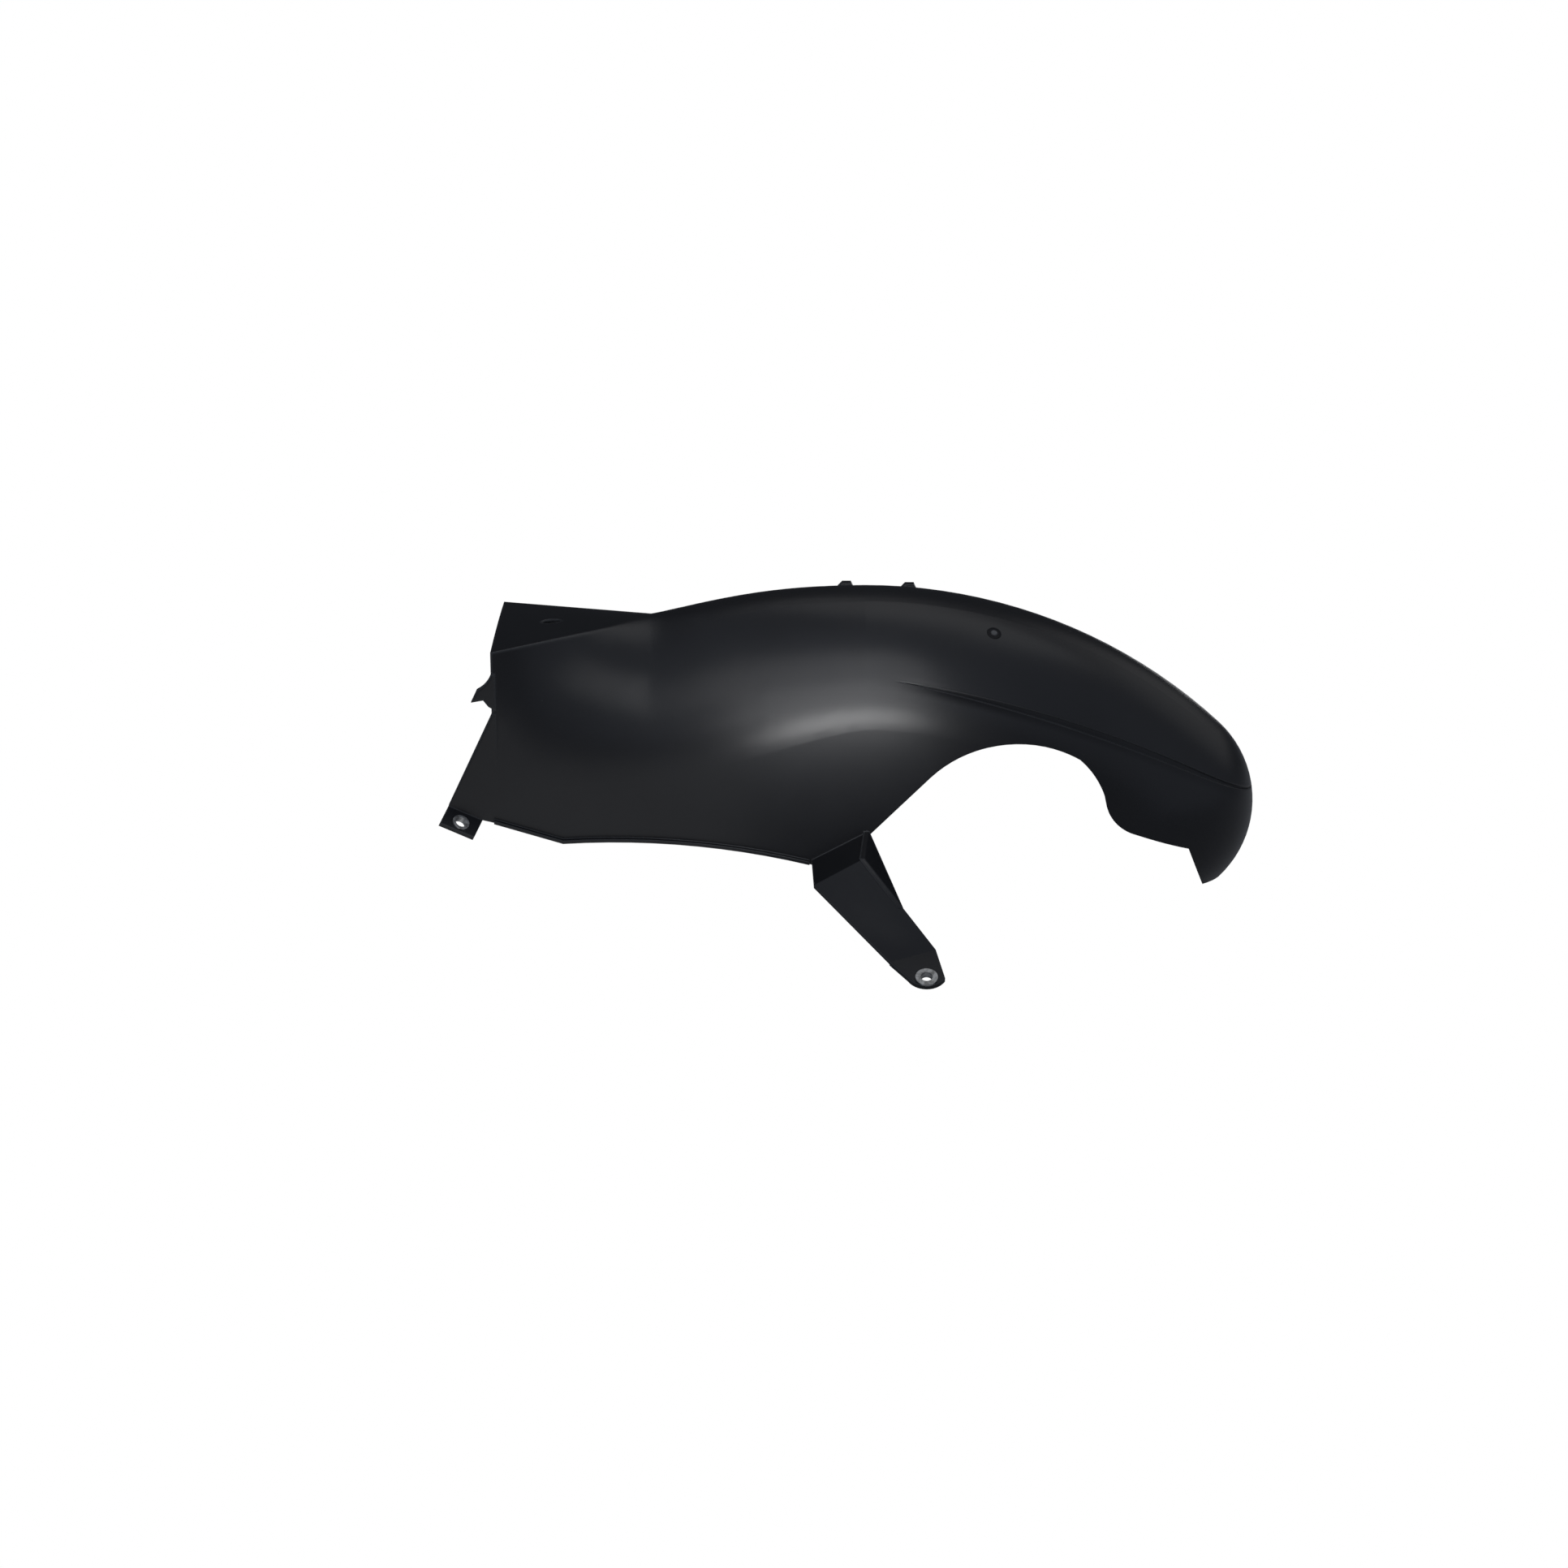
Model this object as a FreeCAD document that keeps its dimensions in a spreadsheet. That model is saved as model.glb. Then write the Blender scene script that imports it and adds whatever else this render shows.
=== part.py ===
import FreeCAD, Part
import math
import os
import Sketcher

# Rear wheel mudguard of a scooter: one black moulding with two steel bolt collars.
# The moulding is drawn about the wheel: X runs to the rear, Y across, Z up, and the
# wheel's axle is the zero point of every sketch. The finished pieces are then moved
# so that the leg's bolt seat is the origin.

Vector = FreeCAD.Vector
Rotation = FreeCAD.Rotation
Placement = FreeCAD.Placement

# Rises and drops are heights over and under the belt radius, where the dome is widest.
# Below it the skirts are flat and lean in towards the tyre.
SIZES = {
    # U-shaped dome over the tyre
    "half_width": 61.0,
    "wall": 2.5,
    "belt_radius": 240.0,
    "tail_angle": 42.8,
    "skirt_drop": 128.0,
    "skirt_lean": 7.0,
    # Sections of the front end, by distance ahead of the axle
    "front_ahead": 209.8,
    "front_ridge_inset": 1.0,
    "front_ridge_rise": 38.0,
    "front_belt_drop": 46.0,
    "front_crown_radius": 1800.0,
    "neck_ahead": 122.0,
    "neck_half_width": 7.0,
    "neck_ridge_rise": 44.2,
    "neck_belt_drop": 35.5,
    "neck_crown_radius": 28.0,
    "slope_ahead": 92.0,
    "slope_ridge_rise": 45.8,
    "slope_belt_drop": 31.0,
    "brow_ahead": 60.0,
    "brow_ridge_rise": 52.1,
    "brow_belt_drop": 23.0,
    "peak_ahead": 30.0,
    "peak_ridge_rise": 55.9,
    "peak_belt_drop": 14.0,
    # Lower edge, from the front to the tail
    "hem_front_drop": 64.0,
    "hem_dip_ahead": 171.0,
    "hem_dip_drop": 76.0,
    "hem_end_ahead": 30.3,
    "hem_end_drop": 88.9,
    "hem_radius": 446.0,
    "hem_lip": 2.6,
    "hem_depth": 2.0,
    "hem_rise": 0.8,
    "root_behind": 2.0,
    "root_drop": 71.3,
    "arch_behind": 85.8,
    "arch_drop": 85.0,
    "arch_radius": 69.4,
    "heel_behind": 134.6,
    "heel_drop": 46.0,
    "heel_radius": 48.0,
    "step_top_behind": 136.0,
    "step_top_drop": 52.6,
    "step_end_behind": 151.0,
    "step_end_drop": 68.2,
    "step_radius": 23.0,
    # Beak under the tail, from the dome's end point
    "notch_past_tail": 19.9,
    "notch_under_tail": 14.1,
    "beak_past_tail": 30.4,
    "beak_under_tail": 41.6,
    # Style line pressed into both flanks of the tail
    "crease_depth": 0.9,
    "crease_start_behind": 15.9,
    "crease_start_rise": 20.0,
    "crease_past_tail": 71.9,
    "crease_over_tail": 3.0,
    "crease_upper_radius": 560.0,
    "crease_lower_radius": 780.0,
    # Mounting leg on the near side
    "leg_thickness": 2.6,
    "fold_reach": 11.0,
    "fold_left_ahead": 29.2,
    "fold_left_drop": 94.8,
    "fold_right_ahead": 0.8,
    "fold_right_drop": 79.2,
    "leg_bolt_behind": 33.2,
    "leg_bolt_reach": 59.0,
    "leg_bolt_drop": 134.4,
    "leg_foot_slope": 30.0,
    "leg_foot_back": 12.2,
    "leg_foot_skew": 9.3,
    "leg_foot_width": 26.0,
    "leg_foot_rake": 7.4,
    "leg_foot_end": 5.9,
    "leg_foot_end_width": 20.6,
    "leg_foot_thickness": 3.0,
    "gusset_thickness": 3.0,
    # Ear and foot at the front lower corner
    "ear_top_rise": 2.0,
    "ear_fold_ahead": 235.4,
    "ear_fold_front_drop": 53.1,
    "ear_fold_width": 19.0,
    "ear_fold_drop": 8.7,
    "foot_length": 14.4,
    "foot_bolt_distance": 8.6,
    "foot_slope": 28.0,
    "foot_rake": 4.2,
    "foot_thickness": 2.8,
    # Hook on the front edge, clip stubs on the crown, hole in the front top
    "hook_reach": 11.4,
    "hook_top_rise": 25.1,
    "hook_tip_rise": 8.8,
    "clip_ahead": 11.0,
    "clip_spacing": 36.0,
    "clip_length": 10.0,
    "clip_width": 6.0,
    "clip_rise": 0.4,
    "clip_offset": 14.0,
    "top_hole_ahead": 179.0,
    "top_hole_diameter": 11.0,
    # Steel collars
    "collar_bore": 6.5,
    "collar_body": 8.4,
    "collar_flange": 12.6,
    "collar_flange_thickness": 1.2,
    "foot_collar_flange": 9.8,
    "collar_clearance": 0.05,
}

doc = FreeCAD.newDocument("mudguard")
sheet = doc.addObject("Spreadsheet::Sheet", "dims")
for row, (alias, value) in enumerate(SIZES.items(), start=1):
    sheet.set(f"A{row}", alias)
    sheet.set(f"B{row}", str(value))
    sheet.setAlias(f"B{row}", alias)
doc.recompute()


def size(expression):
    """The number that an expression over the sheet gives."""
    return float(sheet.evalExpression(expression))


def over_belt(name):
    return f"(dims.belt_radius + dims.{name})"


def under_belt(name):
    return f"(dims.belt_radius - dims.{name})"


# The dome's end point, on the belt at the tail angle
TAIL_BEHIND = "dims.belt_radius * sin(dims.tail_angle)"
TAIL_HEIGHT = "dims.belt_radius * cos(dims.tail_angle)"


def origin_plane(body, role):
    return next(plane for plane in body.Origin.OriginFeatures if plane.Role == role)


def closed_sketch(body, name, role, corners, arcs=None, shift="0", turn=None):
    """A closed outline of straight sides and arcs.

    corners holds pairs of expressions, in order. arcs gives, by side number, the
    radius expression and whether the side bends to the left as it is followed.
    shift moves the sketch plane along its normal, and turn tilts it about its own
    horizontal axis, which passes through the axle.
    """
    arcs = arcs or {}
    sketch = body.newObject("Sketcher::SketchObject", name)
    sketch.AttachmentSupport = (origin_plane(body, role), "")
    sketch.MapMode = "FlatFace"
    tilt = Rotation(Vector(1, 0, 0), size(turn)) if turn else Rotation()
    sketch.AttachmentOffset = Placement(Vector(0, 0, size(shift)), tilt)
    sketch.setExpression("AttachmentOffset.Base.z", shift)
    if turn:
        sketch.setExpression("AttachmentOffset.Rotation.Angle", turn)
    points = [Vector(size(across), size(up), 0) for across, up in corners]
    count = len(points)
    starts = []
    ends = []
    for side in range(count):
        first = points[side]
        last = points[(side + 1) % count]
        if side not in arcs:
            sketch.addGeometry(Part.LineSegment(first, last))
            starts.append((side, 1))
            ends.append((side, 2))
            continue
        radius_text, bends_left = arcs[side]
        chord = last - first
        radius = size(radius_text)
        middle = (first + last) * 0.5
        left = Vector(-chord.y, chord.x, 0).normalize()
        rise = math.sqrt(radius ** 2 - (chord.Length / 2) ** 2)
        centre = middle + left * (rise if bends_left else -rise)
        away = (middle - centre).normalize()
        sketch.addGeometry(Part.Arc(first, centre + away * radius, last))
        starts.append((side, 1 if bends_left else 2))
        ends.append((side, 2 if bends_left else 1))
    for side in range(count):
        following = (side + 1) % count
        sketch.addConstraint(Sketcher.Constraint("Coincident", *ends[side], *starts[following]))
    for side, (across, up) in enumerate(corners):
        for kind, text, value in (("DistanceX", across, points[side].x), ("DistanceY", up, points[side].y)):
            index = sketch.addConstraint(Sketcher.Constraint(kind, -1, 1, *starts[side], value))
            label = f"{'across' if kind == 'DistanceX' else 'up'}{side}"
            sketch.renameConstraint(index, label)
            sketch.setExpression(f"Constraints.{label}", text)
    for side, (radius_text, bends_left) in arcs.items():
        index = sketch.addConstraint(Sketcher.Constraint("Radius", side, size(radius_text)))
        sketch.renameConstraint(index, f"radius{side}")
        sketch.setExpression(f"Constraints.radius{side}", radius_text)
    return sketch


def feature(body, kind, name, **settings):
    """A PartDesign feature; a text that starts with an equals sign binds its property to the sheet."""
    item = body.newObject(f"PartDesign::{kind}", name)
    for key, value in settings.items():
        if isinstance(value, str) and value.startswith("="):
            item.setExpression(key, value[1:])
        else:
            setattr(item, key, value)
    doc.recompute()
    return item


def skirt_half(height, inset="0"):
    """Half the width between the leaning skirts at a height."""
    widest = f"(dims.half_width - {inset}) / cos(dims.skirt_lean)"
    return f"({widest} - (dims.belt_radius - ({height})) * tan(dims.skirt_lean))"


def flank_radius(half, ridge, ridge_height, belt):
    """Radius of the flank's arc, which leaves the leaning skirt without a crease."""
    inset = f"({half} - ({ridge}))"
    rise = f"(({ridge_height}) - ({belt}))"
    turned = f"({rise} * sin(dims.skirt_lean) + {inset} * cos(dims.skirt_lean))"
    return f"({inset} ^ 2 + {rise} ^ 2) / (2 * {turned})"


def section_sketch(name, ahead, inset, ridge, ridge_height, belt, crown=None):
    """One cross-section of the U: skirt, flank, crown, flank, skirt.

    Without a crown radius the crown carries the flanks on without a ridge.
    """
    floor = f"{under_belt('skirt_drop')} - {inset}"
    floor_half = skirt_half(floor, inset)
    half = skirt_half(belt, inset)
    flank = flank_radius(half, ridge, ridge_height, belt)
    smooth = f"({ridge}) * ({flank}) / (({ridge}) - {half} + ({flank}) * cos(dims.skirt_lean))"
    corners = [
        (f"-{floor_half}", floor),
        (f"-{half}", belt),
        (f"-({ridge})", ridge_height),
        (ridge, ridge_height),
        (half, belt),
        (floor_half, floor),
    ]
    arcs = {1: (flank, False), 2: (crown or smooth, False), 3: (flank, False)}
    return closed_sketch(shell, name, "YZ_Plane", corners, arcs, f"-({ahead})")


# The round part of the crown meets the flanks at a third of the half width
DOME_SHARE = "1 / 3"
DOME_RISE = "sqrt(1 - 1 / 9)"


def dome_section(name, inset):
    """The round section over the axle, which the tail carries on."""
    half = f"(dims.half_width - {inset})"
    return section_sketch(
        name, "0", inset, f"{half} * {DOME_SHARE}", f"dims.belt_radius + {half} * {DOME_RISE}",
        f"dims.belt_radius - {half} * sin(dims.skirt_lean)",
    )


def form_sections(name, inset):
    """Front-end sections of the form that lies inset inside the outer skin."""
    front_height = f"{over_belt('front_ridge_rise')} - {inset}"
    ridged_rows = [
        ("front", f"{skirt_half(front_height, inset)} - dims.front_ridge_inset", "dims.front_crown_radius"),
        ("neck", f"dims.neck_half_width - {inset} / 4", f"dims.neck_crown_radius - {inset}"),
    ]
    ridged = [
        section_sketch(
            f"{name}_{place}", f"dims.{place}_ahead", inset, ridge,
            f"{over_belt(place + '_ridge_rise')} - {inset}", under_belt(place + "_belt_drop"), crown,
        )
        for place, ridge, crown in ridged_rows
    ]
    smooth = [
        section_sketch(
            f"{name}_{place}", f"dims.{place}_ahead", inset, f"(dims.half_width - {inset}) * {DOME_SHARE}",
            f"{over_belt(place + '_ridge_rise')} - {inset} * {DOME_RISE}", under_belt(place + "_belt_drop"),
        )
        for place in ("slope", "brow", "peak")
    ]
    return [*ridged, *smooth, dome_section(f"{name}_dome", inset)]


def front_form(name, inset, kind):
    """The flat front end with straight ridges up to the neck, and the swell from the neck to the dome."""
    front, neck, *swell = form_sections(name, inset)
    feature(shell, kind, f"{name}_flare", Profile=front, Sections=[neck], Ruled=True)
    feature(shell, kind, f"{name}_swell", Profile=neck, Sections=swell)


def tail_form(name, inset, kind):
    """The U swept about the axle to the tail angle, and turned there about its middle for the round end."""
    half = f"(dims.half_width - {inset})"
    floor = f"{under_belt('skirt_drop')} - {inset}"
    arc = dome_section(f"{name}_arc", inset)
    end = closed_sketch(
        shell, f"{name}_end", "YZ_Plane",
        [
            ("0", floor),
            (skirt_half(floor, inset), floor),
            (f"{half} * cos(dims.skirt_lean)", f"dims.belt_radius - {half} * sin(dims.skirt_lean)"),
            ("0", f"dims.belt_radius + {half}"),
        ],
        {2: (half, True)}, turn="dims.tail_angle",
    )
    feature(shell, kind, f"{name}_sweep", Profile=arc, ReferenceAxis=(arc, ["H_Axis"]), Angle="=dims.tail_angle")
    feature(shell, kind, f"{name}_cap", Profile=end, ReferenceAxis=(end, ["V_Axis"]), Angle=180, Reversed=True)


# Moulded shell: dome with its style line, and front end
shell = doc.addObject("PartDesign::Body", "shell")
tail_form("outer", "0", "Revolution")
crease = closed_sketch(
    shell, "crease_band", "XZ_Plane",
    [
        ("dims.crease_start_behind", over_belt("crease_start_rise")),
        (f"{TAIL_BEHIND} + dims.crease_past_tail", f"{TAIL_HEIGHT} + dims.crease_over_tail"),
    ],
    {0: ("dims.crease_upper_radius", False), 1: ("dims.crease_lower_radius", True)},
)
feature(shell, "Pocket", "crease_cut", Profile=crease, Type="ThroughAll", SideType="Symmetric")
tail_form("core", "dims.crease_depth", "Revolution")
front_form("outer", "0", "AdditiveLoft")

# Two clip stubs for a hose, just past the crown line, rooted deep in the form
for number in range(2):
    middle = f"(dims.clip_spacing * {number} - dims.clip_ahead)"
    crown = f"sqrt((dims.belt_radius + dims.half_width) ^ 2 - {middle} ^ 2)"
    stub = closed_sketch(
        shell, f"clip_outline{number}", "XZ_Plane",
        [
            (f"{middle} - dims.clip_length / 2", f"{crown} - dims.half_width / 2"),
            (f"{middle} + dims.clip_length / 2", f"{crown} - dims.half_width / 2"),
            (f"{middle} + dims.clip_length / 2", f"{crown} - dims.wall * 1.22"),
            (f"{middle} + dims.clip_length / 3", f"{crown} + dims.clip_rise"),
            (f"{middle} - dims.clip_length / 6", f"{crown} + dims.clip_rise"),
            (f"{middle} - dims.clip_length / 2", f"{crown} - dims.wall * 1.22"),
        ],
        shift="-dims.clip_offset - dims.clip_width / 2",
    )
    feature(shell, "Pad", f"clip{number}", Profile=stub, Length="=dims.clip_width")

# Hollow that leaves the wall, and trims the roots of the stubs
tail_form("hollow", "dims.wall", "Groove")
front_form("hollow", "dims.wall", "SubtractiveLoft")

# Lower edge: hem, leg root, arch over the axle, step and beak
beak_behind = f"{TAIL_BEHIND} + dims.beak_past_tail"
beak_height = f"{TAIL_HEIGHT} - dims.beak_under_tail"
far_front = "-dims.front_ahead - dims.half_width"
far_rear = f"{beak_behind} + dims.half_width"
lower_edge = closed_sketch(
    shell, "lower_edge", "XZ_Plane",
    [
        (far_front, under_belt("hem_front_drop")),
        ("-dims.front_ahead", under_belt("hem_front_drop")),
        ("-dims.hem_dip_ahead", under_belt("hem_dip_drop")),
        ("-dims.hem_end_ahead", under_belt("hem_end_drop")),
        ("dims.root_behind", under_belt("root_drop")),
        ("dims.arch_behind - dims.arch_radius * cos(45 deg)",
         f"{under_belt('arch_drop')} + dims.arch_radius * sin(45 deg)"),
        ("dims.arch_behind + dims.arch_radius * cos(60 deg)",
         f"{under_belt('arch_drop')} + dims.arch_radius * sin(60 deg)"),
        ("dims.heel_behind", under_belt("heel_drop")),
        ("dims.step_top_behind", under_belt("step_top_drop")),
        ("dims.step_end_behind", under_belt("step_end_drop")),
        (f"{TAIL_BEHIND} + dims.notch_past_tail", f"{TAIL_HEIGHT} - dims.notch_under_tail"),
        (beak_behind, beak_height),
        (far_rear, beak_height),
        (far_rear, "0"),
        (far_front, "0"),
    ],
    {
        2: ("dims.hem_radius", False),
        5: ("dims.arch_radius", False),
        6: ("dims.heel_radius", False),
        8: ("dims.step_radius", True),
    },
)
feature(shell, "Pocket", "lower_trim", Profile=lower_edge, Type="ThroughAll", SideType="Symmetric")


def skin_sketch(name, corners, arcs=None):
    """An outline drawn on the near skirt's outer skin, from distances behind the axle and heights."""
    leaning = [(behind, f"({height}) / cos(dims.skirt_lean)") for behind, height in corners]
    return closed_sketch(shell, name, "XZ_Plane", leaning, arcs, skirt_half("0"), "dims.skirt_lean")


# Outward lip just above the skirt's lower edge, on both sides, which stops short of the leg
hem_lower = [
    ("-dims.front_ahead", f"{under_belt('hem_front_drop')} + dims.hem_rise"),
    ("-dims.hem_dip_ahead", f"{under_belt('hem_dip_drop')} + dims.hem_rise"),
    ("-dims.hem_end_ahead - dims.wall / 2", f"{under_belt('hem_end_drop')} + dims.hem_rise"),
]
hem_upper = [(behind, f"{height} + dims.hem_depth") for behind, height in reversed(hem_lower)]
hem = skin_sketch(
    "hem_band", hem_lower + hem_upper, {1: ("dims.hem_radius", False), 3: ("dims.hem_radius", True)}
)
hem_lip = feature(shell, "Pad", "hem_lip", Profile=hem, Length="=dims.hem_lip")
mid_plane = (origin_plane(shell, "XZ_Plane"), [""])
shell.Tip = feature(shell, "Mirrored", "far_hem", Originals=[hem_lip], MirrorPlane=mid_plane)

# Ear that carries the front foot, in the plane of the near skirt
edge_inside = "-dims.front_ahead + dims.wall"
ear = skin_sketch(
    "ear_outline",
    [
        (edge_inside, over_belt("ear_top_rise")),
        ("-dims.front_ahead", over_belt("ear_top_rise")),
        ("-dims.ear_fold_ahead", under_belt("ear_fold_front_drop")),
        ("-dims.ear_fold_ahead + dims.ear_fold_width", f"{under_belt('ear_fold_front_drop')} - dims.ear_fold_drop"),
        (edge_inside, under_belt("hem_front_drop")),
    ],
)
feature(shell, "Pad", "ear", Profile=ear, Length="=dims.wall", Reversed=True)

# Hook on the front edge that keeps a cable in place
hook_tip = over_belt("hook_tip_rise")
hook_shoulder = f"{hook_tip} + (dims.hook_top_rise - dims.hook_tip_rise) * 0.45"
hook = skin_sketch(
    "hook_outline",
    [
        (edge_inside, over_belt("hook_top_rise")),
        ("-dims.front_ahead", over_belt("hook_top_rise")),
        ("-dims.front_ahead - dims.hook_reach * 0.7", hook_shoulder),
        ("-dims.front_ahead - dims.hook_reach", hook_tip),
        ("-dims.front_ahead - dims.hook_reach * 0.4", f"{hook_tip} + dims.wall / 2"),
        ("-dims.front_ahead - dims.hook_reach * 0.15", f"{hook_tip} - dims.wall"),
        (edge_inside, f"{hook_tip} - dims.wall * 2"),
    ],
    {1: ("dims.hook_top_rise - dims.hook_tip_rise", False)},
)
feature(shell, "Pad", "hook", Profile=hook, Length="=dims.wall", Reversed=True)

# Round hole in the flat front top
hole = shell.newObject("Sketcher::SketchObject", "top_hole_outline")
hole.AttachmentSupport = (origin_plane(shell, "XY_Plane"), "")
hole.MapMode = "FlatFace"
hole.AttachmentOffset = Placement(Vector(0, 0, size("dims.belt_radius")), Rotation())
hole.setExpression("AttachmentOffset.Base.z", "dims.belt_radius")
hole_centre = Vector(-size("dims.top_hole_ahead"), 0, 0)
hole.addGeometry(Part.Circle(hole_centre, Vector(0, 0, 1), size("dims.top_hole_diameter / 2")))
hole.addConstraint(Sketcher.Constraint("PointOnObject", 0, 3, -1))
ahead = hole.addConstraint(Sketcher.Constraint("DistanceX", -1, 1, 0, 3, hole_centre.x))
hole.renameConstraint(ahead, "ahead")
hole.setExpression("Constraints.ahead", "-dims.top_hole_ahead")
diameter = hole.addConstraint(Sketcher.Constraint("Diameter", 0, size("dims.top_hole_diameter")))
hole.renameConstraint(diameter, "diameter")
hole.setExpression("Constraints.diameter", "dims.top_hole_diameter")
feature(shell, "Pocket", "top_hole", Profile=hole, Type="ThroughAll", Reversed=True)


def plate(corners, normal, thickness):
    """A flat plate below the outline that its corners give."""
    outline = Part.makePolygon(corners + corners[:1])
    return Part.Face(outline).extrude(normal * -thickness)


def bent_strip(rows, thickness):
    """A sheet through pairs of edge points, folded at each pair, with its thickness on the inner side."""
    middles = [(left + right) * 0.5 for left, right in rows]
    normals = []
    for first, last in zip(middles, middles[1:]):
        run = Vector(0, last.y - first.y, last.z - first.z).normalize()
        normals.append(Vector(0, -run.z, run.y))
    wires = []
    for number, (left, right) in enumerate(rows):
        before = normals[max(number - 1, 0)]
        after = normals[min(number, len(normals) - 1)]
        mitre = (before + after) * (thickness / (1 + before.dot(after)))
        corners = [left, right, right + mitre, left + mitre]
        wires.append(Part.makePolygon(corners + corners[:1]))
    return Part.makeLoft(wires, True, True)


def added_solid(name, shape):
    item = doc.addObject("Part::Feature", name)
    item.Shape = shape
    return item


def on_skirt(behind, height, depth="0"):
    """A point at a depth inside the near skirt's outer skin."""
    return Vector(size(behind), -size(skirt_half(height, depth)), size(height))


# Mounting leg: a shelf off the skirt's lower edge, a strut and a foot with its bolt seat
widest = -size("dims.half_width")
leg_bolt = Vector(
    size("dims.leg_bolt_behind"), widest - size("dims.leg_bolt_reach"), size(under_belt("leg_bolt_drop"))
)
slope = math.radians(size("dims.leg_foot_slope"))
foot_out = Vector(0, -math.cos(slope), -math.sin(slope))
leg_axis = Vector(0, -math.sin(slope), math.cos(slope))
half_foot = Vector(size("dims.leg_foot_width / 2"), 0, 0)
half_end = Vector(size("dims.leg_foot_end_width / 2"), 0, 0)
foot_rake = Vector(size("dims.leg_foot_rake"), 0, 0)
bend_left = leg_bolt - half_foot - foot_rake - foot_out * size("dims.leg_foot_back")
bend_right = leg_bolt + half_foot - foot_rake - foot_out * size("dims.leg_foot_back + dims.leg_foot_skew")
shelf_lift = "dims.leg_thickness * 1.3"
hem_end = on_skirt("-dims.hem_end_ahead", f"{under_belt('hem_end_drop')} + {shelf_lift}", "dims.wall / 2")
arch_root = on_skirt("dims.root_behind", f"{under_belt('root_drop')} + {shelf_lift}", "dims.wall / 2")
fold_y = widest - size("dims.fold_reach")
fold_left = Vector(-size("dims.fold_left_ahead"), fold_y, size(under_belt("fold_left_drop")))
fold_right = Vector(-size("dims.fold_right_ahead"), fold_y, size(under_belt("fold_right_drop")))
sunk = leg_bolt - leg_axis * size("(dims.leg_foot_thickness - dims.leg_thickness) / 2")
strip_rows = [
    (hem_end, arch_root),
    (fold_left, fold_right),
    (bend_left, bend_right),
    (sunk - half_end * 0.8, sunk + half_end * 0.8),
]
leg_strip = added_solid("leg_strip", bent_strip(strip_rows, size("dims.leg_thickness")))
foot_tip = leg_bolt + foot_out * size("dims.leg_foot_end")
foot_edge = [
    Part.LineSegment(leg_bolt + half_end, bend_right).toShape(),
    Part.LineSegment(bend_right, bend_left).toShape(),
    Part.LineSegment(bend_left, leg_bolt - half_end).toShape(),
    Part.Arc(leg_bolt - half_end, foot_tip, leg_bolt + half_end).toShape(),
]
foot_face = Part.Face(Part.Wire(foot_edge))
leg_foot = added_solid("leg_foot", foot_face.extrude(leg_axis * -size("dims.leg_foot_thickness")))

# Gussets that close the leg's two sides at the fold
across = Vector(1, 0, 0)
gusset = size("dims.gusset_thickness")
strut_right = fold_right + (bend_right - fold_right) * 0.55
strut_left = fold_left + (bend_left - fold_left) * 0.2
right_gusset = added_solid("right_gusset", plate([arch_root, fold_right, strut_right], across, gusset))
left_gusset = added_solid("left_gusset", plate([hem_end, fold_left, strut_left], across, -gusset))

# Front foot, bent outwards from the lower end of the ear
fold_front = on_skirt("-dims.ear_fold_ahead", under_belt("ear_fold_front_drop"))
fold_rear = on_skirt(
    "-dims.ear_fold_ahead + dims.ear_fold_width", f"{under_belt('ear_fold_front_drop')} - dims.ear_fold_drop"
)
tilt = math.radians(size("dims.foot_slope"))
foot_length = size("dims.foot_length")
foot_run = Vector(-size("dims.foot_rake"), -foot_length * math.cos(tilt), -foot_length * math.sin(tilt))
foot_step = foot_run.normalize() * foot_length
foot_axis = foot_step.cross(fold_rear - fold_front).normalize()
inward = foot_step * (size("dims.wall") / abs(foot_step.y))
foot_corners = [fold_front - inward, fold_rear - inward, fold_rear + foot_step, fold_front + foot_step]
front_foot = added_solid("front_foot", plate(foot_corners, foot_axis, size("dims.foot_thickness")))
foot_bolt = (fold_front + fold_rear) * 0.5 + foot_step * (size("dims.foot_bolt_distance") / foot_length)


# Bores for the collars, a clearance wider than the collar's body
def seat(name, bolt, axis, thickness):
    item = doc.addObject("Part::Cylinder", name)
    item.setExpression("Radius", "dims.collar_body / 2 + dims.collar_clearance")
    item.setExpression("Height", f"{thickness} * 4")
    item.Placement = Placement(bolt - axis * size(f"{thickness} * 2"), Rotation(Vector(0, 0, 1), axis))
    return item


leg_seat = seat("leg_seat", leg_bolt, leg_axis, "dims.leg_foot_thickness")
foot_seat = seat("foot_seat", foot_bolt, foot_axis, "dims.foot_thickness")

# The moulding, moved so that the leg's bolt seat is the origin
blank = doc.addObject("Part::MultiFuse", "blank")
blank.Shapes = [shell, leg_strip, leg_foot, right_gusset, left_gusset, front_foot]
bores = doc.addObject("Part::MultiFuse", "bores")
bores.Shapes = [leg_seat, foot_seat]
moulding = doc.addObject("Part::Cut", "moulding")
moulding.Base = blank
moulding.Tool = bores
moulding.Label = "fender_shell"
moulding.Placement = Placement(leg_bolt * -1, Rotation())
moulding.setExpression("Placement.Base.x", "-dims.leg_bolt_behind")
moulding.setExpression("Placement.Base.y", "dims.half_width + dims.leg_bolt_reach")
moulding.setExpression("Placement.Base.z", f"-{under_belt('leg_bolt_drop')}")


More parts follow.
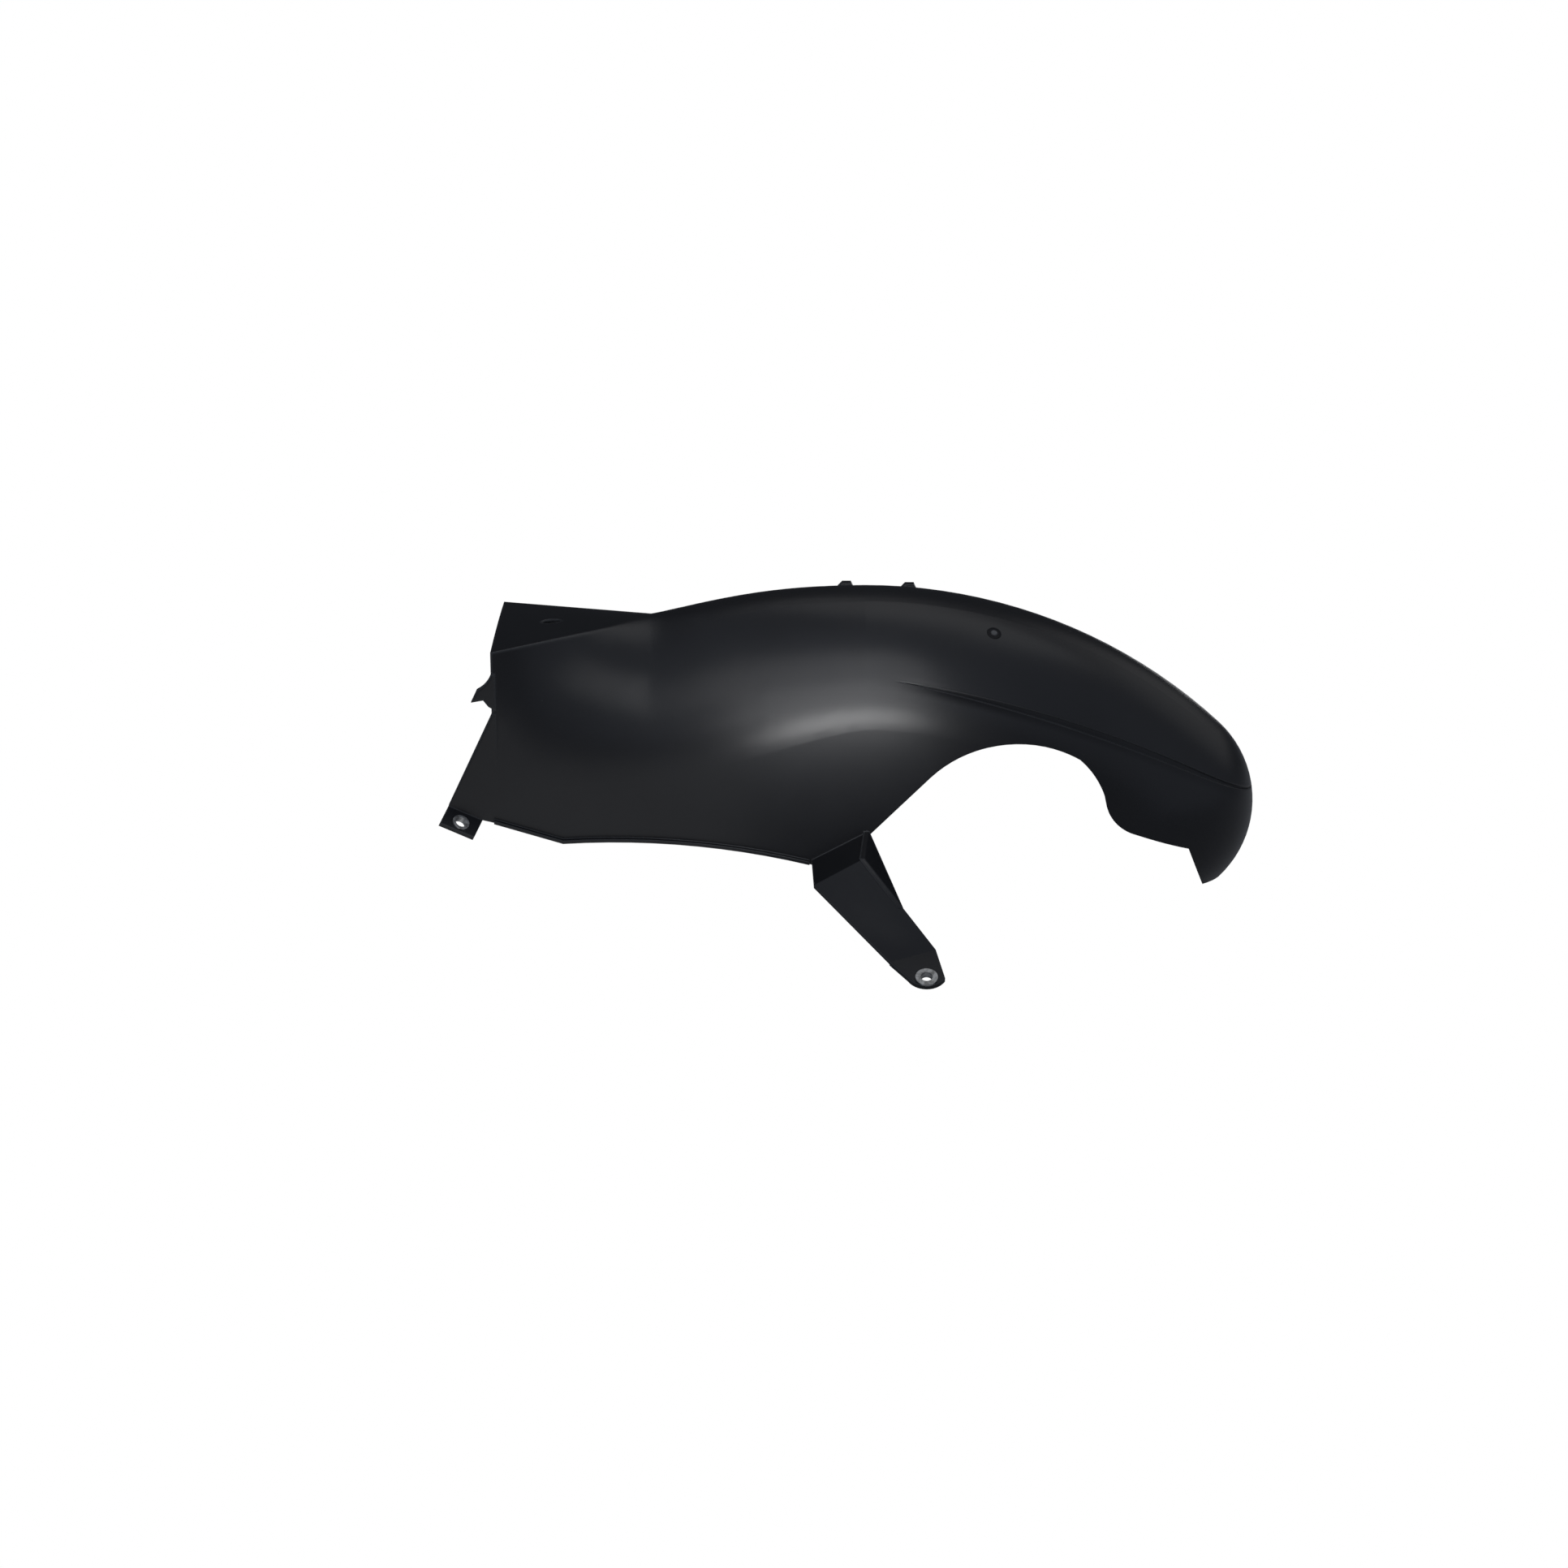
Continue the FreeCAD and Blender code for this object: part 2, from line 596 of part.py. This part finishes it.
# Turned steel collars, flange on the bolt's side
def collar(label, flange, thickness, place, axis):
    body = doc.addObject("PartDesign::Body", label)
    profile = closed_sketch(
        body, f"{label}_profile", "XZ_Plane",
        [
            ("dims.collar_bore / 2", f"-{thickness}"),
            ("dims.collar_body / 2", f"-{thickness}"),
            ("dims.collar_body / 2", "0"),
            (f"{flange} / 2", "0"),
            (f"{flange} / 2", "dims.collar_flange_thickness"),
            ("dims.collar_bore / 2", "dims.collar_flange_thickness"),
        ],
    )
    feature(body, "Revolution", f"{label}_turned", Profile=profile, ReferenceAxis=(profile, ["V_Axis"]), Angle=360)
    body.Label = label
    body.Placement = Placement(place, Rotation(Vector(0, 0, 1), axis))
    return body


leg_collar = collar("leg_collar", "dims.collar_flange", "dims.leg_foot_thickness", Vector(), leg_axis)
foot_collar = collar(
    "front_foot_collar", "dims.foot_collar_flange", "dims.foot_thickness", foot_bolt - leg_bolt, foot_axis
)
doc.recompute()

for item in doc.Objects:
    if "Invalid" in item.State or "Error" in item.State:
        raise RuntimeError(f"{item.Name} failed: {item.State}")
pieces = [moulding, leg_collar, foot_collar]
for piece in pieces:
    if piece.Shape.isNull() or not piece.Shape.isValid():
        raise RuntimeError(f"{piece.Label} has no valid shape")
os.makedirs("parts", exist_ok=True)
for piece in pieces:
    piece.Shape.exportStep(f"parts/{piece.Label}.step")
    print(piece.Label, len(piece.Shape.Solids), round(piece.Shape.Volume, 1), piece.Placement)
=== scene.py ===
import math

import bmesh
import bpy
from mathutils import Matrix, Vector


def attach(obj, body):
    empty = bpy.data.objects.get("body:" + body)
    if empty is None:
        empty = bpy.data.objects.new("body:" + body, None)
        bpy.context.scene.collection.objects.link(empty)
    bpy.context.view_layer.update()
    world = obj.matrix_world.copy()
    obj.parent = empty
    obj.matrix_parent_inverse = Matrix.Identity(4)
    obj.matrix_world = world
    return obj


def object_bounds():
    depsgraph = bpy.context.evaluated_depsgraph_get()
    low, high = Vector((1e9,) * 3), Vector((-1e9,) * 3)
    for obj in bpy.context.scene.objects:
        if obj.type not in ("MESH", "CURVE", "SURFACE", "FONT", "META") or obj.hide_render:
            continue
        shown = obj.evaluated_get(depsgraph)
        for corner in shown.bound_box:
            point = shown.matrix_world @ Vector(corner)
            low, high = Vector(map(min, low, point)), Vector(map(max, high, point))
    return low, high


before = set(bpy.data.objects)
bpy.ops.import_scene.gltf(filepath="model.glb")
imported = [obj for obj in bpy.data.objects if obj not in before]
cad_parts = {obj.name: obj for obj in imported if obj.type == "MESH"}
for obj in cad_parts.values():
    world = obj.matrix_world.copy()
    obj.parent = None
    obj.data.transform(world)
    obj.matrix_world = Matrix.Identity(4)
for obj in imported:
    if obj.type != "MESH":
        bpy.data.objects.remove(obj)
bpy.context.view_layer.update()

scene = bpy.context.scene

# Mudguard shell: one injection moulding in black polypropylene, with a fine spark-eroded
# grain from the mould. It was handled and stored, so its edges are rubbed and it carries dust.
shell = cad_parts["fender_shell"]
black = bpy.data.materials.new("black_polypropylene")
black.use_nodes = True
nodes = black.node_tree.nodes
links = black.node_tree.links
plastic = nodes["Principled BSDF"]
place = nodes.new("ShaderNodeTexCoord")

# Slight cloudiness of the colour, and paler dust specks
clouds = nodes.new("ShaderNodeTexNoise")
clouds.inputs["Scale"].default_value = 14.0
clouds.inputs["Detail"].default_value = 5.0
links.new(place.outputs["Object"], clouds.inputs["Vector"])
tone = nodes.new("ShaderNodeValToRGB")
tone.color_ramp.elements[0].position = 0.30
tone.color_ramp.elements[0].color = (0.0125, 0.0130, 0.0150, 1)
tone.color_ramp.elements[1].position = 0.72
tone.color_ramp.elements[1].color = (0.0190, 0.0198, 0.0225, 1)
links.new(clouds.outputs["Fac"], tone.inputs["Fac"])
specks = nodes.new("ShaderNodeTexVoronoi")
specks.inputs["Scale"].default_value = 85.0
links.new(place.outputs["Object"], specks.inputs["Vector"])
speck_size = nodes.new("ShaderNodeValToRGB")
speck_size.color_ramp.elements[0].position = 0.035
speck_size.color_ramp.elements[0].color = (1, 1, 1, 1)
speck_size.color_ramp.elements[1].position = 0.07
speck_size.color_ramp.elements[1].color = (0, 0, 0, 1)
links.new(specks.outputs["Distance"], speck_size.inputs["Fac"])
speck_field = nodes.new("ShaderNodeTexNoise")
speck_field.inputs["Scale"].default_value = 9.0
links.new(place.outputs["Object"], speck_field.inputs["Vector"])
speck_patch = nodes.new("ShaderNodeMapRange")
speck_patch.inputs["From Min"].default_value = 0.52
speck_patch.inputs["From Max"].default_value = 0.72
links.new(speck_field.outputs["Fac"], speck_patch.inputs["Value"])
speck_mask = nodes.new("ShaderNodeMath")
speck_mask.operation = "MULTIPLY"
links.new(speck_size.outputs["Color"], speck_mask.inputs[0])
links.new(speck_patch.outputs["Result"], speck_mask.inputs[1])
dusted = nodes.new("ShaderNodeMix")
dusted.data_type = "RGBA"
dusted.inputs["B"].default_value = (0.11, 0.115, 0.12, 1)
links.new(speck_mask.outputs["Value"], dusted.inputs["Factor"])
links.new(tone.outputs["Color"], dusted.inputs["A"])

# Satin sheen that varies where hands have polished it
polish = nodes.new("ShaderNodeTexNoise")
polish.inputs["Scale"].default_value = 22.0
polish.inputs["Detail"].default_value = 6.0
links.new(place.outputs["Object"], polish.inputs["Vector"])
sheen = nodes.new("ShaderNodeMapRange")
sheen.inputs["To Min"].default_value = 0.29
sheen.inputs["To Max"].default_value = 0.37
links.new(polish.outputs["Fac"], sheen.inputs["Value"])
links.new(sheen.outputs["Result"], plastic.inputs["Roughness"])

# The small radius that every moulded edge has, much larger where the front ridges run out
apart = nodes.new("ShaderNodeSeparateXYZ")
links.new(place.outputs["Object"], apart.inputs["Vector"])
along_front = nodes.new("ShaderNodeMapRange")
along_front.inputs["From Min"].default_value = -0.245
along_front.inputs["From Max"].default_value = -0.110
links.new(apart.outputs["X"], along_front.inputs["Value"])
softer = nodes.new("ShaderNodeValToRGB")
softer.color_ramp.interpolation = "EASE"
softer.color_ramp.elements[0].position = 0.0
softer.color_ramp.elements[0].color = (0.1, 0.1, 0.1, 1)
softer.color_ramp.elements[1].position = 1.0
softer.color_ramp.elements[1].color = (0, 0, 0, 1)
ahead = softer.color_ramp.elements.new(0.45)
ahead.color = (0.25, 0.25, 0.25, 1)
neck = softer.color_ramp.elements.new(0.66)
neck.color = (1, 1, 1, 1)
links.new(along_front.outputs["Result"], softer.inputs["Fac"])
over_skirt = nodes.new("ShaderNodeMapRange")
over_skirt.inputs["From Min"].default_value = 0.085
over_skirt.inputs["From Max"].default_value = 0.115
links.new(apart.outputs["Z"], over_skirt.inputs["Value"])
soft_part = nodes.new("ShaderNodeMath")
soft_part.operation = "MULTIPLY"
links.new(softer.outputs["Color"], soft_part.inputs[0])
links.new(over_skirt.outputs["Result"], soft_part.inputs[1])
edge_radius = nodes.new("ShaderNodeMapRange")
edge_radius.inputs["To Min"].default_value = 0.0012
edge_radius.inputs["To Max"].default_value = 0.0140
links.new(soft_part.outputs["Value"], edge_radius.inputs["Value"])
edges = nodes.new("ShaderNodeBevel")
edges.samples = 8
links.new(edge_radius.outputs["Result"], edges.inputs["Radius"])

# Edges rubbed a little paler than the faces
face = nodes.new("ShaderNodeNewGeometry")
facing = nodes.new("ShaderNodeVectorMath")
facing.operation = "DOT_PRODUCT"
links.new(face.outputs["Normal"], facing.inputs[0])
links.new(edges.outputs["Normal"], facing.inputs[1])
rubbing = nodes.new("ShaderNodeMapRange")
rubbing.inputs["From Min"].default_value = 0.99
rubbing.inputs["From Max"].default_value = 0.80
links.new(facing.outputs["Value"], rubbing.inputs["Value"])
rubbed = nodes.new("ShaderNodeMix")
rubbed.data_type = "RGBA"
rubbed.inputs["B"].default_value = (0.085, 0.088, 0.092, 1)
links.new(rubbing.outputs["Result"], rubbed.inputs["Factor"])
links.new(dusted.outputs["Result"], rubbed.inputs["A"])
links.new(rubbed.outputs["Result"], plastic.inputs["Base Color"])

# Soft swell of the flank above the style line, which drops away under it. The style line
# is an arc about a centre far below the guard, and the swell fades out along the tail.
from_centre = nodes.new("ShaderNodeVectorMath")
from_centre.operation = "SUBTRACT"
from_centre.inputs[1].default_value = (-0.1293, 0.0, -0.4859)
links.new(place.outputs["Object"], from_centre.inputs[0])
upright = nodes.new("ShaderNodeVectorMath")
upright.operation = "MULTIPLY"
upright.inputs[1].default_value = (1, 0, 1)
links.new(from_centre.outputs["Vector"], upright.inputs[0])
radius = nodes.new("ShaderNodeVectorMath")
radius.operation = "LENGTH"
links.new(upright.outputs["Vector"], radius.inputs[0])
line_radius = 0.650
across_line = nodes.new("ShaderNodeMapRange")
across_line.inputs["From Min"].default_value = line_radius - 0.010
across_line.inputs["From Max"].default_value = line_radius + 0.030
links.new(radius.outputs["Value"], across_line.inputs["Value"])
swell = nodes.new("ShaderNodeValToRGB")
swell.color_ramp.interpolation = "EASE"
swell.color_ramp.elements[0].position = 0.10
swell.color_ramp.elements[0].color = (0, 0, 0, 1)
swell.color_ramp.elements[1].position = 1.0
swell.color_ramp.elements[1].color = (0, 0, 0, 1)
top = swell.color_ramp.elements.new(0.36)
top.color = (1, 1, 1, 1)
links.new(across_line.outputs["Result"], swell.inputs["Fac"])
along_line = nodes.new("ShaderNodeMapRange")
along_line.inputs["From Min"].default_value = -0.030
along_line.inputs["From Max"].default_value = 0.200
links.new(apart.outputs["X"], along_line.inputs["Value"])
fade = nodes.new("ShaderNodeValToRGB")
fade.color_ramp.interpolation = "EASE"
fade.color_ramp.elements[0].position = 0.0
fade.color_ramp.elements[0].color = (0, 0, 0, 1)
fade.color_ramp.elements[1].position = 1.0
fade.color_ramp.elements[1].color = (0.15, 0.15, 0.15, 1)
full = fade.color_ramp.elements.new(0.20)
full.color = (1, 1, 1, 1)
weak = fade.color_ramp.elements.new(0.45)
weak.color = (0.4, 0.4, 0.4, 1)
links.new(along_line.outputs["Result"], fade.inputs["Fac"])
pressed = nodes.new("ShaderNodeMath")
pressed.operation = "MULTIPLY"
links.new(swell.outputs["Color"], pressed.inputs[0])
links.new(fade.outputs["Color"], pressed.inputs[1])
style_line = nodes.new("ShaderNodeBump")
style_line.inputs["Strength"].default_value = 1.0
style_line.inputs["Distance"].default_value = 0.0011
links.new(pressed.outputs["Value"], style_line.inputs["Height"])
links.new(edges.outputs["Normal"], style_line.inputs["Normal"])

# Painted shade in the drop under the style line: the specular is lowered along a band there, so it
# reads dark as if little light reached it
painted_shade_band = nodes.new("ShaderNodeValToRGB")
painted_shade_band.color_ramp.interpolation = "EASE"
painted_shade_band.color_ramp.elements[0].position = 0.08
painted_shade_band.color_ramp.elements[0].color = (0, 0, 0, 1)
painted_shade_band.color_ramp.elements[1].position = 0.32
painted_shade_band.color_ramp.elements[1].color = (0, 0, 0, 1)
deepest = painted_shade_band.color_ramp.elements.new(0.22)
deepest.color = (1, 1, 1, 1)
links.new(across_line.outputs["Result"], painted_shade_band.inputs["Fac"])
painted_shade_mask = nodes.new("ShaderNodeMath")
painted_shade_mask.operation = "MULTIPLY"
links.new(painted_shade_band.outputs["Color"], painted_shade_mask.inputs[0])
links.new(fade.outputs["Color"], painted_shade_mask.inputs[1])
# Specular level of the shell, lowered where the painted shade band lies
specular_with_painted_shade = nodes.new("ShaderNodeMapRange")
specular_with_painted_shade.inputs["To Min"].default_value = 0.5
specular_with_painted_shade.inputs["To Max"].default_value = 0.04
links.new(painted_shade_mask.outputs["Value"], specular_with_painted_shade.inputs["Value"])
links.new(specular_with_painted_shade.outputs["Result"], plastic.inputs["Specular IOR Level"])

# Mould grain over all of it
grain = nodes.new("ShaderNodeTexNoise")
grain.inputs["Scale"].default_value = 1500.0
grain.inputs["Detail"].default_value = 3.0
links.new(place.outputs["Object"], grain.inputs["Vector"])
relief = nodes.new("ShaderNodeBump")
relief.inputs["Strength"].default_value = 0.10
relief.inputs["Distance"].default_value = 0.0002
links.new(grain.outputs["Fac"], relief.inputs["Height"])
links.new(style_line.outputs["Normal"], relief.inputs["Normal"])
links.new(relief.outputs["Normal"], plastic.inputs["Normal"])
plastic.inputs["IOR"].default_value = 1.49
shell.data.materials.clear()
shell.data.materials.append(black)

# Gate mark on the near flank, where the plastic entered the mould: a low ring with the snapped
# stump of the feed in it. It is part of the moulding, in black plastic, with a painted highlight:
# the stump's centre is painted pale.
gate_spot = Vector((0.0393, 0.0868, 0.1764))
gate_outwards = Vector((0.2089, -0.5444, 0.8124))
gate_shape = bmesh.new()
gate_profile = [
    (0.0, 0.0009),
    (0.0014, 0.0008),
    (0.0019, 0.0002),
    (0.0020, 0.00005),
    (0.0032, 0.00005),
    (0.0035, 0.00035),
    (0.0040, 0.00035),
    (0.0044, -0.0004),
    (0.0, -0.0004),
]
gate_points = [gate_shape.verts.new((across, 0, up)) for across, up in gate_profile]
gate_lines = [gate_shape.edges.new(pair) for pair in zip(gate_points, gate_points[1:])]
bmesh.ops.spin(
    gate_shape,
    geom=gate_points + gate_lines,
    axis=(0, 0, 1),
    angle=math.tau,
    steps=32,
    use_merge=True,
)
bmesh.ops.remove_doubles(gate_shape, verts=gate_shape.verts, dist=0.000001)
bmesh.ops.recalc_face_normals(gate_shape, faces=gate_shape.faces)
gate_turn = gate_outwards.to_track_quat("Z", "Y").to_matrix().to_4x4()
gate_place = Matrix.Translation(gate_spot) @ gate_turn
bmesh.ops.transform(gate_shape, matrix=gate_place, verts=gate_shape.verts)
gate_mesh = bpy.data.meshes.new("gate_mark")
gate_shape.to_mesh(gate_mesh)
gate_shape.free()
gate_highlight_paint = bpy.data.materials.new("polypropylene_with_painted_highlight")
gate_highlight_paint.use_nodes = True
nodes = gate_highlight_paint.node_tree.nodes
links = gate_highlight_paint.node_tree.links
stump = nodes["Principled BSDF"]
stump.inputs["Roughness"].default_value = 0.55
stump.inputs["Specular IOR Level"].default_value = 0.2
place = nodes.new("ShaderNodeTexCoord")
from_gate = nodes.new("ShaderNodeVectorMath")
from_gate.operation = "DISTANCE"
from_gate.inputs[1].default_value = gate_spot
links.new(place.outputs["Object"], from_gate.inputs[0])
# Painted highlight: pale colour at the stump's centre, fading to the plastic's black over the ring
painted_highlight_fade = nodes.new("ShaderNodeMapRange")
painted_highlight_fade.inputs["From Min"].default_value = 0.0016
painted_highlight_fade.inputs["From Max"].default_value = 0.0022
links.new(from_gate.outputs["Value"], painted_highlight_fade.inputs["Value"])
stump_painted_highlight = nodes.new("ShaderNodeValToRGB")
stump_painted_highlight.color_ramp.elements[0].color = (0.150, 0.151, 0.156, 1)
stump_painted_highlight.color_ramp.elements[1].color = (0.016, 0.016, 0.018, 1)
links.new(painted_highlight_fade.outputs["Result"], stump_painted_highlight.inputs["Fac"])
links.new(stump_painted_highlight.outputs["Color"], stump.inputs["Base Color"])
gate_mesh.materials.append(gate_highlight_paint)
gate_mark = bpy.data.objects.new("gate_mark", gate_mesh)
scene.collection.objects.link(gate_mark)
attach(gate_mark, "root")

# Bolt collars: turned from steel bar and zinc plated, pressed into the moulding so that
# the bolts clamp on metal. The plating is bright, with grey handling stains.
zinc = bpy.data.materials.new("zinc_plated_steel")
zinc.use_nodes = True
nodes = zinc.node_tree.nodes
links = zinc.node_tree.links
steel = nodes["Principled BSDF"]
steel.inputs["Metallic"].default_value = 1.0
place = nodes.new("ShaderNodeTexCoord")
stain = nodes.new("ShaderNodeTexNoise")
stain.inputs["Scale"].default_value = 380.0
stain.inputs["Detail"].default_value = 5.0
links.new(place.outputs["Object"], stain.inputs["Vector"])
plating = nodes.new("ShaderNodeValToRGB")
plating.color_ramp.elements[0].position = 0.35
plating.color_ramp.elements[0].color = (0.30, 0.30, 0.29, 1)
plating.color_ramp.elements[1].position = 0.60
plating.color_ramp.elements[1].color = (0.76, 0.76, 0.74, 1)
links.new(stain.outputs["Fac"], plating.inputs["Fac"])
links.new(plating.outputs["Color"], steel.inputs["Base Color"])
dulled = nodes.new("ShaderNodeMapRange")
dulled.inputs["To Min"].default_value = 0.25
dulled.inputs["To Max"].default_value = 0.5
links.new(stain.outputs["Fac"], dulled.inputs["Value"])
links.new(dulled.outputs["Result"], steel.inputs["Roughness"])
rim = nodes.new("ShaderNodeBevel")
rim.samples = 6
rim.inputs["Radius"].default_value = 0.0004
links.new(rim.outputs["Normal"], steel.inputs["Normal"])
for name in ("leg_collar", "front_foot_collar"):
    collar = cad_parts[name]
    collar.data.materials.clear()
    collar.data.materials.append(zinc)

# Floor: a wide pale sheet under the held guard. The camera sees it as plain white, and the
# guard gets only a weak bounce from it.
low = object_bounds()[0]
floor_mesh = bpy.data.meshes.new("floor")
reach = 30.0
gap_under_guard = 0.02
level = low[2] - gap_under_guard
corners = [
    (-reach, -reach, level),
    (reach, -reach, level),
    (reach, reach, level),
    (-reach, reach, level),
]
floor_mesh.from_pydata(corners, [], [(0, 1, 2, 3)])
floor = bpy.data.objects.new("floor", floor_mesh)
scene.collection.objects.link(floor)
paper = bpy.data.materials.new("pale_paper")
paper.use_nodes = True
nodes = paper.node_tree.nodes
links = paper.node_tree.links
matte = nodes["Principled BSDF"]
matte.inputs["Base Color"].default_value = (0.60, 0.60, 0.60, 1)
matte.inputs["Roughness"].default_value = 0.9
white = nodes.new("ShaderNodeEmission")
white.inputs["Color"].default_value = (1, 1, 1, 1)
path = nodes.new("ShaderNodeLightPath")
seen = nodes.new("ShaderNodeMixShader")
links.new(path.outputs["Is Camera Ray"], seen.inputs["Fac"])
links.new(matte.outputs["BSDF"], seen.inputs[1])
links.new(white.outputs["Emission"], seen.inputs[2])
links.new(seen.outputs["Shader"], nodes["Material Output"].inputs["Surface"])
floor.data.materials.append(paper)

# Surroundings: white to the camera. To everything else they are a dim, slightly blue room that
# is darker behind the guard.
world = bpy.data.worlds.new("studio")
scene.world = world
world.use_nodes = True
nodes = world.node_tree.nodes
links = world.node_tree.links
room = nodes["Background"]
room.inputs["Color"].default_value = (0.80, 0.86, 1.0, 1)
way = nodes.new("ShaderNodeTexCoord")
split = nodes.new("ShaderNodeSeparateXYZ")
links.new(way.outputs["Generated"], split.inputs["Vector"])
depth = nodes.new("ShaderNodeMapRange")
depth.inputs["From Min"].default_value = -0.3
depth.inputs["From Max"].default_value = 0.7
depth.inputs["To Min"].default_value = 0.31
depth.inputs["To Max"].default_value = 0.03
links.new(split.outputs["Y"], depth.inputs["Value"])
links.new(depth.outputs["Result"], room.inputs["Strength"])
backdrop = nodes.new("ShaderNodeBackground")
backdrop.inputs["Color"].default_value = (1, 1, 1, 1)
path = nodes.new("ShaderNodeLightPath")
seen = nodes.new("ShaderNodeMixShader")
links.new(path.outputs["Is Camera Ray"], seen.inputs["Fac"])
links.new(room.outputs["Background"], seen.inputs[1])
links.new(backdrop.outputs["Background"], seen.inputs[2])
links.new(seen.outputs["Shader"], nodes["World Output"].inputs["Surface"])

# Camera: square to the guard's near side, far off with a long lens, and looking down on it
# by the tilt
middle = Vector((-0.0792, 0.120, 0.0794))
tilt = math.radians(15.0)
distance = 2.6
frame_width = 0.904
lens = bpy.data.cameras.new("camera")
lens.sensor_width = 36.0
lens.lens = lens.sensor_width * distance / frame_width
camera = bpy.data.objects.new("camera", lens)
scene.collection.objects.link(camera)
toward = Vector((0, -math.cos(tilt), math.sin(tilt)))
camera.location = middle + toward * distance
camera.rotation_euler = (-toward).to_track_quat("-Z", "Y").to_euler()
scene.camera = camera


# Soft lights: three gridded panels close in front of the flank, dimmer upwards, for the bright
# patch and its fading sheen. A low panel fills the front skirt, wide weak ones stand over the
# top and beside the tail, and one near the floor lights the far flank.
def softbox(name, spot, aim, width, height, power, beam=180.0):
    light = bpy.data.lights.new(name, "AREA")
    light.shape = "RECTANGLE"
    light.size = width
    light.size_y = height
    light.energy = power
    light.spread = math.radians(beam)
    lamp = bpy.data.objects.new(name, light)
    scene.collection.objects.link(lamp)
    lamp.location = Vector(spot)
    lamp.rotation_euler = (Vector(aim) - Vector(spot)).to_track_quat("-Z", "Y").to_euler()
    lamp.visible_camera = False


softbox("low_panel", (-0.050, -0.051, 0.107), (-0.050, 0.06, 0.136), 0.09, 0.045, 0.0200, 80.0)
softbox("middle_panel", (-0.060, -0.051, 0.167), (-0.060, 0.06, 0.147), 0.13, 0.07, 0.0125, 80.0)
softbox("high_panel", (-0.075, -0.051, 0.260), (-0.075, 0.068, 0.165), 0.18, 0.12, 0.0120, 64.0)
softbox("fill_panel", (-0.215, -0.20, -0.015), (-0.215, -0.20, 0.10), 0.23, 0.50, 0.11)
softbox("top_light", (0.30, 0.60, 1.60), (-0.05, 0.08, 0.15), 1.4, 0.8, 1.8)
softbox("tail_light", (1.00, 0.83, 0.81), (0.12, 0.10, 0.12), 1.1, 0.8, 0.7)
softbox("back_light", (-0.05, 0.62, 0.06), (-0.05, 0.18, 0.11), 0.7, 0.16, 0.45)

scene.view_settings.view_transform = "Standard"
